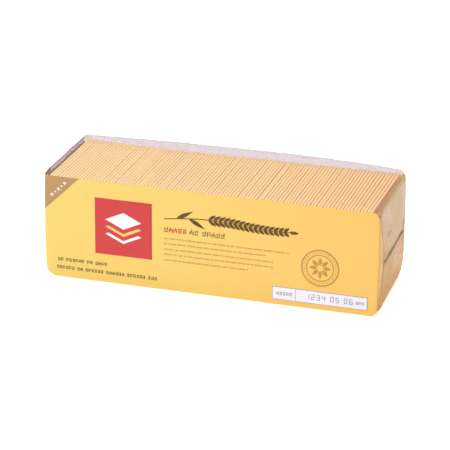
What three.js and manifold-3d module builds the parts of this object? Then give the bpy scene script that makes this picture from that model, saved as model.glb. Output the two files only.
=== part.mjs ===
// A long pack of one hundred wrapped cheese slices standing on edge, in one film.
// Millimetres. X runs along the pack, -Y is the printed front, +Z is up.
// The origin is the middle of the bottom.

import * as THREE from 'three';
import { mergeVertices } from 'three/addons/utils/BufferGeometryUtils.js';
import Module from 'manifold-3d';

const wasm = await Module();
wasm.setup();

// Driving dimensions of the pack
const PACK_LENGTH = 269;
const PACK_DEPTH = 92.5;
const FILM = 0.5;
const GAP = 0.3;

// Driving dimensions of the stack of slices
const SLICE_COUNT = 100;
const SLICE_GROOVE = 0.4;
const GROOVE_DEPTH = 1.2;
const STACK_TOP = 85;
const STACK_DEPTH = 89;
const LEFT_SLACK = 3.3;
const RIGHT_SLACK = 5.6;
const SLICE_UNEVEN = 0.35;

// The film over the slices: a low tent, highest along the back
const FRONT_EDGE_Z = 85.6;
const TENT_PEAK_Z = 91.2;
const TENT_PEAK_X = 0;
const TENT_BULGE = 0.8;
const LEFT_RIDGE_Z = 88.4;
const RIGHT_RIDGE_Z = 87.2;
const RIDGE_FROM_BACK = 3;
const BACK_EDGE_Z = 87;
const FRONT_RISE_DEPTH = 14;

// Round corners of the pack seen from the front, and round long edges. The feet are round in
// the printed front, sharp just behind it and roundest at the back corners.
const NEAR_FOOT = { behind: 0, left: 14, right: 8 };
const SHARP_FOOT = { behind: 14, left: 4, right: 2 };
const SOFT_FOOT = { behind: 82, left: 9, right: 7 };
const FAR_FOOT = { behind: PACK_DEPTH, left: 18, right: 18 };
const LEFT_SHOULDER = 3.2;
const RIGHT_SHOULDER = 5.4;
const FRONT_FOOT_RADIUS = 1;
const BACK_FOOT_RADIUS = 4;

// The print stops at these lines: the film beyond them is clear
const PRINT_TOP_Z = 85;
const BACK_PRINT_TOP_Z = 76;
const FRONT_TUCK = 14;
const FOOT_TUCK = 22;

// The seal that closes each end: a strip across the end, folded down over the film
const SEAL_NEAR_Y = -30;
const SEAL_FAR_Y = 33.5;
const SEAL_NEAR_Z = 40.7;
const SEAL_FAR_Z = 42.5;
const SEAL_HEIGHT = 3;
const SEAL_THICKNESS = 0.9;

const LEFT = -PACK_LENGTH / 2;
const RIGHT = PACK_LENGTH / 2;
const FRONT = -PACK_DEPTH / 2;
const BACK = PACK_DEPTH / 2;
const CURVE_SEGMENTS = 8;
const REACH = 2 * PACK_LENGTH;
const FORM_REACH = 1.5 * TENT_PEAK_Z;

// Solids from three.js geometries, and back again
function solidOf(geometry) {
  const bare = geometry.index ? geometry.clone() : geometry;
  bare.deleteAttribute('normal');
  bare.deleteAttribute('uv');
  const merged = mergeVertices(bare, 1e-4);
  return new wasm.Manifold(new wasm.Mesh({
    numProp: 3,
    vertProperties: new Float32Array(merged.attributes.position.array),
    triVerts: new Uint32Array(merged.index.array),
  }));
}

function geometryOf(solid) {
  const mesh = solid.getMesh();
  const geometry = new THREE.BufferGeometry();
  geometry.setAttribute('position', new THREE.BufferAttribute(mesh.vertProperties, 3));
  geometry.setIndex(new THREE.BufferAttribute(mesh.triVerts, 1));
  geometry.computeVertexNormals();
  return geometry;
}

function boxSolid(low, high) {
  const size = [high[0] - low[0], high[1] - low[1], high[2] - low[2]];
  const box = new THREE.BoxGeometry(...size);
  box.translate(low[0] + size[0] / 2, low[1] + size[1] / 2, low[2] + size[2] / 2);
  return solidOf(box);
}

// An outline drawn in X and Z, pushed through the pack's depth
function throughDepth(outline) {
  const geometry = new THREE.ExtrudeGeometry(outline, {
    depth: REACH, bevelEnabled: false, curveSegments: CURVE_SEGMENTS,
  });
  geometry.translate(0, 0, -REACH / 2);
  geometry.applyMatrix4(new THREE.Matrix4().makeBasis(
    new THREE.Vector3(1, 0, 0), new THREE.Vector3(0, 0, 1), new THREE.Vector3(0, -1, 0)));
  return solidOf(geometry);
}

// An outline drawn in Y and Z, pushed along the pack's length
function alongLength(outline, from = -REACH / 2, to = REACH / 2) {
  const geometry = new THREE.ExtrudeGeometry(outline, {
    depth: to - from, bevelEnabled: false, curveSegments: CURVE_SEGMENTS,
  });
  geometry.translate(0, 0, from);
  geometry.applyMatrix4(new THREE.Matrix4().makeBasis(
    new THREE.Vector3(0, 1, 0), new THREE.Vector3(0, 0, 1), new THREE.Vector3(1, 0, 0)));
  return solidOf(geometry);
}

// The pack seen from the front: a soft shoulder at each end and a low arch on top
function frontOutline(inset) {
  const left = LEFT + inset;
  const right = RIGHT - inset;
  const foot = inset;
  const leftRidge = LEFT_RIDGE_Z - inset;
  const rightRidge = RIGHT_RIDGE_Z - inset;
  const outline = new THREE.Shape();
  outline.moveTo(left, foot);
  outline.lineTo(right, foot);
  outline.lineTo(right, rightRidge - RIGHT_SHOULDER);
  outline.quadraticCurveTo(
    right - RIGHT_SHOULDER / 6, rightRidge - RIGHT_SHOULDER / 5,
    right - RIGHT_SHOULDER, rightRidge);
  outline.quadraticCurveTo(
    right - right / 3, TENT_PEAK_Z + TENT_BULGE - inset,
    TENT_PEAK_X, TENT_PEAK_Z - inset);
  outline.lineTo(left + LEFT_SHOULDER, leftRidge);
  outline.quadraticCurveTo(left, leftRidge, left, leftRidge - LEFT_SHOULDER);
  return outline;
}

// The pack seen from its end: the tent rises from the front edge to a ridge near the back
function endOutline(inset) {
  const front = FRONT + inset;
  const back = BACK - inset;
  const foot = inset;
  const frontFoot = FRONT_FOOT_RADIUS - inset;
  const backFoot = BACK_FOOT_RADIUS - inset;
  const ridge = TENT_PEAK_Z + TENT_BULGE / 2 - inset;
  const outline = new THREE.Shape();
  outline.moveTo(front + frontFoot, foot);
  outline.lineTo(back - backFoot, foot);
  outline.absarc(back - backFoot, foot + backFoot, backFoot, -Math.PI / 2, 0, false);
  outline.lineTo(back, BACK_EDGE_Z - inset);
  outline.quadraticCurveTo(back, ridge, back - RIDGE_FROM_BACK, ridge);
  outline.quadraticCurveTo(
    front + FRONT_RISE_DEPTH, ridge - TENT_BULGE,
    front, FRONT_EDGE_Z - inset);
  outline.lineTo(front, foot + frontFoot);
  outline.absarc(front + frontFoot, foot + frontFoot, frontFoot, Math.PI, 1.5 * Math.PI, false);
  return outline;
}

// The round feet: the hull of one outline with two round lower corners at each station
function footForm(inset) {
  const points = [];
  for (const station of [NEAR_FOOT, SHARP_FOOT, SOFT_FOOT, FAR_FOOT]) {
    const y = Math.min(Math.max(FRONT + station.behind, FRONT + inset), BACK - inset);
    for (const [side, radius] of [[-1, station.left - inset], [1, station.right - inset]]) {
      const edge = side * (PACK_LENGTH / 2 - inset);
      points.push([edge, y, FORM_REACH]);
      for (let i = 0; i <= CURVE_SEGMENTS; i += 1) {
        const turn = (i / CURVE_SEGMENTS) * Math.PI / 2;
        points.push([
          edge - side * radius * (1 - Math.cos(turn)),
          y,
          inset + radius * (1 - Math.sin(turn)),
        ]);
      }
    }
  }
  return wasm.Manifold.hull(points);
}

function packForm(inset) {
  return throughDepth(frontOutline(inset))
    .intersect(alongLength(endOutline(inset)))
    .intersect(footForm(inset));
}

// Slices: plates of slightly different size, joined by a core that is smaller all round
function randomDraws(seed) {
  let state = seed;
  return () => {
    state = (state * 1664525 + 1013904223) % 4294967296;
    return state / 4294967296;
  };
}

function sliceStack() {
  const draw = randomDraws(7);
  const stackLeft = LEFT + LEFT_SLACK;
  const stackRight = RIGHT - RIGHT_SLACK;
  const pitch = (stackRight - stackLeft) / SLICE_COUNT;
  const stackFront = FRONT + FILM + GAP;
  const stackFoot = FILM + GAP;
  const stackBack = stackFront + STACK_DEPTH;
  let stack = boxSolid(
    [stackLeft + pitch / 2, stackFront + GROOVE_DEPTH, stackFoot + GROOVE_DEPTH],
    [stackRight - pitch / 2, stackBack - GROOVE_DEPTH, STACK_TOP - GROOVE_DEPTH]);
  for (let i = 0; i < SLICE_COUNT; i += 1) {
    const x = stackLeft + i * pitch;
    const top = STACK_TOP - SLICE_UNEVEN * draw();
    const back = stackBack - SLICE_UNEVEN * draw();
    stack = stack.add(boxSolid(
      [x + SLICE_GROOVE / 2, stackFront, stackFoot],
      [x + pitch - SLICE_GROOVE / 2, back, top]));
  }
  return stack.intersect(footForm(FILM + GAP)).intersect(throughDepth(frontOutline(FILM + GAP)));
}

// The space of the print: front, bottom and most of the back, and a tuck round the near and
// low edge of each end. grow moves its edges outwards, so that the clear film keeps its gap.
function printSpace(grow) {
  const nearPanel = boxSolid([-REACH, -REACH, -REACH], [REACH, 0, PRINT_TOP_Z + grow]);
  const farPanel = boxSolid([-REACH, -REACH, -REACH], [REACH, REACH, BACK_PRINT_TOP_Z + grow]);
  const panels = throughDepth(frontOutline(2 * FILM - grow)).intersect(nearPanel.add(farPanel));
  const frontTuck = boxSolid(
    [-REACH, -REACH, -REACH],
    [REACH, FRONT + FRONT_TUCK + grow, RIGHT_RIDGE_Z - RIGHT_SHOULDER + grow]);
  const footTuck = boxSolid(
    [-REACH, -REACH, -REACH],
    [REACH, REACH, FOOT_TUCK + grow]);
  return panels.add(frontTuck).add(footTuck);
}

function wholeFilm() {
  return packForm(0).subtract(packForm(FILM));
}

function printedFilm() {
  return wholeFilm().intersect(printSpace(0));
}

// The seal at one end: it slants a little and stands proud of the film that it closes
function endSeal(side) {
  const inner = side * (PACK_LENGTH / 2 - FILM / 2);
  const proud = side * (PACK_LENGTH / 2 + SEAL_THICKNESS);
  const outline = new THREE.Shape();
  outline.moveTo(SEAL_NEAR_Y, SEAL_NEAR_Z - SEAL_HEIGHT);
  outline.lineTo(SEAL_FAR_Y, SEAL_FAR_Z - SEAL_HEIGHT);
  outline.lineTo(SEAL_FAR_Y, SEAL_FAR_Z);
  outline.lineTo(SEAL_NEAR_Y, SEAL_NEAR_Z);
  return alongLength(outline, Math.min(inner, proud), Math.max(inner, proud));
}

function clearFilm() {
  return wholeFilm().subtract(printSpace(GAP)).add(endSeal(-1)).add(endSeal(1));
}

// Materials
const cheeseMaterial = new THREE.MeshStandardMaterial({
  color: 0xf4cf9a, roughness: 0.45, metalness: 0,
});
const printMaterial = new THREE.MeshStandardMaterial({
  color: 0xfbd680, roughness: 0.35, metalness: 0,
});
const clearMaterial = new THREE.MeshStandardMaterial({
  color: 0xe6dee4, roughness: 0.12, metalness: 0, transparent: true, opacity: 0.35,
});

function namedMesh(name, solid, material) {
  const mesh = new THREE.Mesh(geometryOf(solid), material);
  mesh.name = name;
  return mesh;
}

const pack = new THREE.Group();
pack.add(namedMesh('slice_stack', sliceStack(), cheeseMaterial));
pack.add(namedMesh('printed_film', printedFilm(), printMaterial));
pack.add(namedMesh('clear_film', clearFilm(), clearMaterial));

export default pack;
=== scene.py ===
"""Builds the looks of a long film pack of one hundred wrapped cheese slices.

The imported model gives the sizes. Each operator makes one piece of the pack, or a group of like
pieces, in metres and in the model's own frame: X runs along the pack, -Y is the printed front
and Z is up. The film is laid on a sharp box first, and film_place then rounds its corners,
raises the tent over the slices and ripples it.
"""

import math
import random

import bmesh
import bpy
from bpy.props import FloatProperty, FloatVectorProperty, IntProperty, PointerProperty
from mathutils import Matrix, Vector, noise


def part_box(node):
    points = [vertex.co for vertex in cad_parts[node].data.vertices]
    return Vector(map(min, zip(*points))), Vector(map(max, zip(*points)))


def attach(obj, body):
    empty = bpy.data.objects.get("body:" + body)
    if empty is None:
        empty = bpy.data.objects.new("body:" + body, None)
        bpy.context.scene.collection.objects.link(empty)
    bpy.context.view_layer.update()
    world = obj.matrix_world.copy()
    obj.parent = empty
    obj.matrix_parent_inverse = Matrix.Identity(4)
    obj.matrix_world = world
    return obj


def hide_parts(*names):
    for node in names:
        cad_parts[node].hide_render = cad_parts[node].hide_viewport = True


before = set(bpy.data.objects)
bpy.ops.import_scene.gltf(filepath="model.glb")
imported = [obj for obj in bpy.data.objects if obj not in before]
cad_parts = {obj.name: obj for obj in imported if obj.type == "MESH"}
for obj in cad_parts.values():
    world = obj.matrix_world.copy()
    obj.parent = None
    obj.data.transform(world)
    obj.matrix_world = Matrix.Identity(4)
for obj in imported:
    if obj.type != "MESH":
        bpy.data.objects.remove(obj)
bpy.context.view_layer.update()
PRINT_LOW, PRINT_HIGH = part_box("printed_film")
CLEAR_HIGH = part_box("clear_film")[1]
STACK_LOW, STACK_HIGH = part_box("slice_stack")

bl_info = {
    "name": "Cheese slice pack",
    "version": (1, 0, 0),
    "blender": (4, 5, 0),
    "location": "3D View > Sidebar > Cheese Pack",
    "description": "Builds a long film pack of wrapped cheese slices round its packed model",
    "category": "Object",
}

MM = 0.001
LEFT = PRINT_LOW.x
RIGHT = PRINT_HIGH.x
FRONT = PRINT_LOW.y
BACK = PRINT_HIGH.y
FOOT = PRINT_LOW.z
PRINT_TOP = PRINT_HIGH.z
ENDS = {"left": -1, "right": 1}


# Settings


def length_setting(name, description, default):
    return FloatProperty(
        name=name, description=description, default=default, unit="LENGTH", subtype="DISTANCE"
    )


def angle_setting(name, description, degrees):
    angle = math.radians(degrees)
    return FloatProperty(
        name=name, description=description, default=angle, unit="ROTATION", subtype="ANGLE"
    )


def colour_setting(name, description, default):
    return FloatVectorProperty(
        name=name, description=description, default=default, size=3, subtype="COLOR"
    )


class FilmSettings(bpy.types.PropertyGroup):
    """Sizes and colours of the outer film."""

    thickness: length_setting("Thickness", "Thickness of the film", 0.12 * MM)
    peak_rise: length_setting(
        "Tent height",
        "Height of the clear film's ridge above the top edge of the print",
        CLEAR_HIGH.z - PRINT_TOP - 0.1 * MM,
    )
    left_rise: length_setting(
        "Left end height",
        "Height of the ridge at the left end above the top edge of the print",
        3.5 * MM,
    )
    right_rise: length_setting(
        "Right end height",
        "Height of the ridge at the right end above the top edge of the print",
        2.5 * MM,
    )
    ripple: length_setting("Ripple", "Height of the film's shallow ripples", 0.16 * MM)
    tent_ripple: length_setting(
        "Tent ripple", "Height of the waves in the clear film over the slices", 0.5 * MM
    )
    yellow: colour_setting(
        "Yellow", "Colour of the printed film at the left end", (0.83, 0.58, 0.144)
    )
    # painted shade: the yellow turns darker and more orange towards the right end, for the light
    # falling off along the pack
    yellow_right: colour_setting(
        "Yellow shaded at the right", "Colour of the printed film at the right end", (0.88, 0.53, 0.123)
    )
    clear_tint: colour_setting(
        "Clear tint", "Colour of the clear film over the slices", (0.86, 0.8, 0.87)
    )
    band_tint: colour_setting(
        "Back band tint", "Colour of the cloudy film behind the slices", (0.52, 0.55, 0.9)
    )
    tuck_tint: colour_setting(
        "Tuck tint",
        "Colour of the cloudy film over the print's tuck at the ends",
        (0.61, 0.275, 0.062),
    )
    # painted shade: the dark reddish tint of the sheet that stands for the shadowed gap beside the
    # last slice
    slack_tint: colour_setting(
        "Gap shade film tint",
        "Colour of the slack film in the gap beside the last slice",
        (0.79, 0.27, 0.05),
    )
    band_low_tint: colour_setting(
        "Back band tint low down", "Colour of the cloudy film next to the slices", (0.72, 0.54, 0.6)
    )
    fold_tint: colour_setting(
        "Fold tint", "Colour of the cloudy folded film of the ends", (0.785, 0.505, 0.235)
    )
    fold_low_tint: colour_setting(
        "Fold tint low down",
        "Colour of the folded film of the ends near the foot",
        (0.755, 0.345, 0.0),
    )
    # painted shade: the next two tints colour the left end's inner strips as its shaded inside and
    # as the shadowed gap beside the first slice
    hem_tint: colour_setting(
        "Hem tint", "Colour of the film that is folded inwards at the left end", (0.7, 0.25, 0.13)
    )
    hem_low_tint: colour_setting(
        "Hem shade tint low down",
        "Colour of the inner film in the gap beside the first slice",
        (0.28, 0.09, 0.03),
    )
    # painted shade: the seal's dark tint stands for the shadow under its lower edge, and it darkens
    # the pinch as the shade of its crease
    seal_tint: colour_setting("Seal tint", "Colour of the seals of the ends", (0.27, 0.22, 0.13))


class SliceSettings(bpy.types.PropertyGroup):
    """Sizes and colours of the slices."""

    count: IntProperty(
        name="Slices",
        description="Number of slices along the pack",
        default=100,
        min=1,
        max=120,
    )
    thickness: length_setting("Slice thickness", "Thickness of the cheese in one slice", 2.08 * MM)
    unevenness: length_setting(
        "Unevenness", "How much the slices differ in height and place", 0.3 * MM
    )
    cheese: colour_setting("Cheese", "Colour of the cheese at the left end", (0.93, 0.652, 0.28))
    # painted shade: the cheese turns darker towards the right end, for the light falling off along
    # the pack
    cheese_right: colour_setting(
        "Cheese shaded at the right", "Colour of the cheese at the right end", (0.92, 0.575, 0.19)
    )
    # painted shade: a darker, deeper orange copy of the cheese for the shaded faces between the
    # slices
    sides: colour_setting(
        "Sides", "Colour of the cheese deep between the slices", (0.94, 0.57, 0.13)
    )


class InkSettings(bpy.types.PropertyGroup):
    """Colours of the printed shapes."""

    red: colour_setting("Red", "Colour of the square tile", (0.6, 0.038, 0.042))
    brown: colour_setting(
        "Brown", "Colour of the sprig and of the larger marks", (0.125, 0.062, 0.004)
    )
    sepia: colour_setting("Sepia", "Colour of the middle-sized marks", (0.26, 0.15, 0.045))
    tan: colour_setting(
        "Tan", "Colour of the corner and of the back's rules", (0.468, 0.258, 0.102)
    )
    ochre: colour_setting(
        "Ochre", "Colour of the stamp and of the smallest marks", (0.52, 0.3, 0.065)
    )
    label: colour_setting("Label", "Colour of the label's ground", (0.86, 0.83, 0.93))
    cream: colour_setting(
        "Cream", "Colour of the pale shapes and of the back's table", (0.88, 0.84, 0.84)
    )
    grey: colour_setting(
        "Grey", "Colour of the label's frame and numbers, and the stripes", (0.33, 0.32, 0.34)
    )


class StageSettings(bpy.types.PropertyGroup):
    """The camera and the floor."""

    azimuth: angle_setting(
        "Azimuth", "How far the camera stands to the right of the printed front", 16.53
    )
    elevation: angle_setting("Elevation", "How far the camera stands above the horizon", 21.69)
    roll: angle_setting("Roll", "Turn of the camera about its own axis", 0.604)
    distance: length_setting(
        "Distance", "Distance from the camera to the middle of the pack", 1.7404
    )
    lens: FloatProperty(
        name="Lens",
        description="Focal length in millimetres on a 36 mm sensor",
        default=176.0,
        min=1.0,
    )
    floor: colour_setting("Floor", "Colour of the floor", (0.93, 0.93, 0.93))


def settings(group):
    return getattr(bpy.context.scene, "cheese_pack_" + group)


# The film's form

TENT_PEAK_X = -10 * MM
RIDGE_AT = 0.975
RIDGE_Y = FRONT + RIDGE_AT * (BACK - FRONT)
RIGHT_SLOPE_POWER = 4
FOOT_STATIONS = (0.0, 14 * MM, 82 * MM, BACK - FRONT)
FOOT_ROUND = {
    "left": (10.8 * MM, 4 * MM, 8 * MM, 15 * MM),
    "right": (7.2 * MM, 2 * MM, 6.5 * MM, 15 * MM),
}
ROUNDEST_FOOT = 15 * MM
SHOULDER_ROUND = {"left": 1.8 * MM, "right": 5.8 * MM}
END_REACH = 20 * MM
END_BULGE = 0.75 * MM
MIDDLE_RISE_POWER = 0.7
LEFT_RISE_GAIN = 0.55
RIGHT_RISE_GAIN = 0.35
CORNER_ROUND = {"front": 1.6 * MM, "back": 2.6 * MM}
LONG_EDGE_ROUND = {"front_foot": 1.0 * MM, "back_foot": 4.0 * MM, "front_top": 0.7 * MM}
RIPPLE_LENGTH = 19 * MM
RIPPLE_SEED = 5
# The ripples fade out below these shares of the height, upright and lengthwise
RIPPLE_FADE = (0.0, 0.2)
LENGTHWISE_FADE = (0.02, 0.3)
TENT_WAVE_LENGTH = Vector((46 * MM, 24 * MM, 60 * MM))
TENT_WAVE_FADE = (0.4 * MM, 3 * MM)
TENT_POWER = 6


def rounded(a, b, edge_a, edge_b, side_a, side_b, radius):
    """Moves a point (a, b) of a square corner onto a round one of that radius."""
    centre_a = edge_a - side_a * radius
    centre_b = edge_b - side_b * radius
    out_a = (a - centre_a) * side_a
    out_b = (b - centre_b) * side_b
    if out_a <= 0 or out_b <= 0:
        return a, b
    shrink = max(out_a, out_b) / math.hypot(out_a, out_b)
    return centre_a + side_a * out_a * shrink, centre_b + side_b * out_b * shrink


def smooth(value, low, high):
    """0 below low, 1 above high, and a soft step between them."""
    t = min(max((value - low) / (high - low), 0.0), 1.0)
    return t * t * (3 - 2 * t)


def between(stops, at, soft=False):
    """The value at a place between stops, which are pairs of a place and its value."""
    for (low, low_value), (high, high_value) in zip(stops, stops[1:]):
        if at <= high:
            share = smooth(at, low, high) if soft else (at - low) / (high - low)
            return low_value + (high_value - low_value) * share
    return stops[-1][1]


def foot_round(end, y):
    """Radius of an end's foot at a depth: sharp behind the front, roundest at the back."""
    behind = min(max(y - FRONT, 0.0), BACK - FRONT)
    return between(list(zip(FOOT_STATIONS, FOOT_ROUND[end])), behind)


def ridge_rise(x):
    """Height of the tent's ridge above the print's top edge, along the pack."""
    film = settings("film")
    if x < TENT_PEAK_X:
        t = (TENT_PEAK_X - x) / (TENT_PEAK_X - LEFT)
        return film.peak_rise + (film.left_rise - film.peak_rise) * t
    t = (x - TENT_PEAK_X) / (RIGHT - TENT_PEAK_X)
    return film.peak_rise + (film.right_rise - film.peak_rise) * t**RIGHT_SLOPE_POWER


def tent_share(x, y):
    """How much of the ridge's height the tent has, from front to back.

    Over the slices it rises slowly. At the ends the film stands up straight behind the front.
    """
    at_left = 1 - smooth(x, LEFT, LEFT + END_REACH)
    at_right = smooth(x, RIGHT - END_REACH, RIGHT)
    power = MIDDLE_RISE_POWER - LEFT_RISE_GAIN * at_left - RIGHT_RISE_GAIN * at_right
    t = min(max((y - FRONT) / (BACK - FRONT), 0.0), 1.0)
    if t < RIDGE_AT:
        return math.sin(0.5 * math.pi * t / RIDGE_AT) ** power if t > 0 else 0.0
    return math.sqrt(max(0.0, 1 - ((t - RIDGE_AT) / (1 - RIDGE_AT)) ** 2))


def film_place(x, y, z):
    """The place in the pack of a point on the sharp box round the printed film."""
    point = Vector((x, y, z))
    for end, side in ENDS.items():
        edge = side * RIGHT
        foot = foot_round(end, y)
        point.x, point.z = rounded(point.x, point.z, edge, FOOT, side, -1, foot)
        point.x, point.z = rounded(
            point.x, point.z, edge, PRINT_TOP, side, 1, SHOULDER_ROUND[end]
        )
        for face, across in (("front", -1), ("back", 1)):
            point.x, point.y = rounded(
                point.x, point.y, edge, across * BACK, side, across, CORNER_ROUND[face]
            )
    for edge, across, up, height in (
        ("front_foot", -1, -1, FOOT),
        ("back_foot", 1, -1, FOOT),
        ("front_top", -1, 1, PRINT_TOP),
    ):
        point.y, point.z = rounded(
            point.y, point.z, across * BACK, height, across, up, LONG_EDGE_ROUND[edge]
        )
    height_share = (z - FOOT) / (PRINT_TOP - FOOT)
    tent = tent_share(x, y) * ridge_rise(x) * height_share**TENT_POWER
    end_share = smooth(abs(x), RIGHT - END_REACH, RIGHT)
    bulge = END_BULGE * end_share * math.sin(math.pi * height_share)
    place = point + Vector((math.copysign(bulge, x), 0, tent))
    return place + ripples(place, height_share, tent)


def ripples(place, height_share, tent):
    """Shallow ripples all over the film, and longer waves in the tent."""
    film = settings("film")
    above_floor = smooth(height_share, *RIPPLE_FADE)
    fine = noise.noise_vector(place / RIPPLE_LENGTH) * film.ripple * above_floor
    fine.x *= smooth(height_share, *LENGTHWISE_FADE)
    stretched = Vector(p / w for p, w in zip(place, TENT_WAVE_LENGTH))
    slack = smooth(tent, *TENT_WAVE_FADE)
    wave = noise.noise(stretched) * film.tent_ripple * slack
    return fine + Vector((0, 0, wave))


# Meshes

CLOSE_STATIONS = 12
SAME_PLACE = 1e-6


def fractions(count, low=0.0, high=1.0):
    """Even stations from low to high."""
    return [low + (high - low) * i / count for i in range(count + 1)]


def stations(low, high, low_round, high_round, step, also=()):
    """Places along an edge: close together where it is rounded, then an even step apart."""
    places = [low + low_round * i / CLOSE_STATIONS for i in range(CLOSE_STATIONS)]
    places += [high - high_round * i / CLOSE_STATIONS for i in range(CLOSE_STATIONS)]
    start = low + low_round
    stop = high - high_round
    places += fractions(max(1, math.ceil((stop - start) / step)), start, stop)
    for extra in also:
        places = [p for p in places if abs(p - extra) > 0.25 * step]
        places.append(extra)
    return sorted({round(p, 7) for p in places})


def direction(angle):
    return Vector((math.cos(angle), math.sin(angle)))


def left_of(along):
    """The flat direction a quarter turn to the left of another."""
    return Vector((-along.y, along.x))


def as_given(a, b):
    """The point of a pair of stations, for a sheet that is bent by its own place alone."""
    return a, b, 0


class SheetMesh:
    """Collects the faces of a sheet. Corners at one place share one vertex."""

    def __init__(self, place):
        self.place = place
        self.known = {}
        self.points = []
        self.faces = []

    def corner(self, point):
        key = tuple(round(value, 7) for value in point)
        if key not in self.known:
            self.known[key] = len(self.points)
            self.points.append(self.place(*key))
        return self.known[key]

    def panel(self, across, along, at=as_given, flip=False, keep=None):
        """A grid of faces. at gives the point to be placed for a pair of stations."""
        for a0, a1 in zip(across, across[1:]):
            for b0, b1 in zip(along, along[1:]):
                if keep and not keep((a0 + a1) / 2, (b0 + b1) / 2):
                    continue
                corners = [at(a0, b0), at(a1, b0), at(a1, b1), at(a0, b1)]
                if flip:
                    corners.reverse()
                self.faces.append([self.corner(c) for c in corners])

def add_piece(name, points, faces, materials, replaced=(), face_inks=None):
    """A mesh object that rides on the pack, with its materials."""
    mesh = bpy.data.meshes.new(name)
    mesh.from_pydata([tuple(p) for p in points], [], faces)
    if mesh.validate():
        raise RuntimeError(f"{name} has faces that Blender had to repair")
    for material in materials:
        mesh.materials.append(material)
    if face_inks:
        mesh.polygons.foreach_set("material_index", face_inks)
    mesh.polygons.foreach_set("use_smooth", [True] * len(mesh.polygons))
    piece = bpy.data.objects.new(name, mesh)
    bpy.context.scene.collection.objects.link(piece)
    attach(piece, "root")
    if replaced:
        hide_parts(*replaced)
    return piece


def thicken(piece, thickness):
    """Gives a sheet its thickness, on the side away from its normals."""
    solid = piece.modifiers.new("Film thickness", "SOLIDIFY")
    solid.thickness = thickness
    solid.offset = -1
    solid.use_even_offset = False


def add_film(name, sheet, finish, replaced=(), thickness=None):
    """A piece of film with one finish, as thick as the settings say unless a size is given."""
    piece = add_piece(name, sheet.points, sheet.faces, [finish], replaced)
    thicken(piece, thickness or settings("film").thickness)


# Materials

# Noise textures run from about the first value to the second
NOISE_RANGE = (0.3, 0.7)
UNEVEN_SHARE = 0.25
FINE_CREASE = 0.05 * MM


class Finish:
    """A material with one Principled shader, and short ways to feed it."""

    def __init__(self, name, colour, roughness, alpha=1.0):
        self.material = bpy.data.materials.new(name)
        self.material.use_nodes = True
        self.tree = self.material.node_tree
        self.shader = self.tree.nodes["Principled BSDF"]
        self.set("Base Color", (*colour, 1.0))
        self.set("Roughness", roughness)
        self.set("Alpha", alpha)
        self.place = self.add("ShaderNodeTexCoord").outputs["Object"]

    def add(self, kind):
        return self.tree.nodes.new(kind)

    def link(self, source, target):
        self.tree.links.new(source, target)

    def set(self, socket, value):
        self.shader.inputs[socket].default_value = value

    def feed(self, socket, source):
        self.link(source, self.shader.inputs[socket])

    def noise(self, scale, detail):
        texture = self.add("ShaderNodeTexNoise")
        texture.inputs["Scale"].default_value = scale
        texture.inputs["Detail"].default_value = detail
        self.link(self.place, texture.inputs["Vector"])
        return texture.outputs["Fac"]

    def spread(self, source, low, high, to_low=0.0, to_high=1.0):
        """Turns the source's values from low to high into those from to_low to to_high."""
        node = self.add("ShaderNodeMapRange")
        limits = {"From Min": low, "From Max": high, "To Min": to_low, "To Max": to_high}
        for name, value in limits.items():
            node.inputs[name].default_value = value
        self.link(source, node.inputs["Value"])
        return node.outputs["Result"]

    def share(self, clouds, axis="X", low=LEFT, high=RIGHT):
        """0 at the low end of an axis and 1 at its high end, a little uneven."""
        split = self.add("ShaderNodeSeparateXYZ")
        self.link(self.place, split.inputs["Vector"])
        uneven = self.add("ShaderNodeMath")
        uneven.operation = "MULTIPLY_ADD"
        uneven.inputs[1].default_value = UNEVEN_SHARE
        self.link(clouds, uneven.inputs[0])
        self.link(self.spread(split.outputs[axis], low, high), uneven.inputs[2])
        return uneven.outputs["Value"]

    def ramp(self, source, low, high, start=NOISE_RANGE[0], stop=NOISE_RANGE[1]):
        """Colours from low to high as the source goes from start to stop."""
        ramp = self.add("ShaderNodeValToRGB")
        first, last = ramp.color_ramp.elements
        first.position = start
        last.position = stop
        first.color = (*low, 1.0)
        last.color = (*high, 1.0)
        self.link(source, ramp.inputs["Fac"])
        return ramp.outputs["Color"]

    def uneven_roughness(self, scale, detail, low, high):
        source = self.noise(scale, detail)
        self.feed("Roughness", self.spread(source, *NOISE_RANGE, low, high))

    def bump(self, scale, detail, height, strength):
        bump = self.add("ShaderNodeBump")
        bump.inputs["Distance"].default_value = height
        bump.inputs["Strength"].default_value = strength
        self.link(self.noise(scale, detail), bump.inputs["Height"])
        self.feed("Normal", bump.outputs["Normal"])


def scaled(colour, factor):
    return tuple(min(1.0, channel * factor) for channel in colour)


def printed_finish(name, colour, shaded_right_colour=None):
    """Ink under a satin film: slight clouds in the colour and the film's fine pebble.

    With a second colour, the first one turns into it from the left end to the right end, as painted
    shade of the light falling off along the pack.
    """
    finish = Finish(name, colour, roughness=0.38)
    clouds = finish.noise(scale=28, detail=4)
    if shaded_right_colour:
        ink_colour = finish.ramp(finish.share(clouds), colour, shaded_right_colour, 0.55, 1.0)
    else:
        ink_colour = finish.ramp(clouds, scaled(colour, 0.97), scaled(colour, 1.02))
    finish.feed("Base Color", ink_colour)
    finish.uneven_roughness(scale=140, detail=3, low=0.34, high=0.46)
    finish.bump(scale=420, detail=5, height=FINE_CREASE, strength=0.4)
    finish.set("Specular IOR Level", 0.35)
    return finish.material


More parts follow.
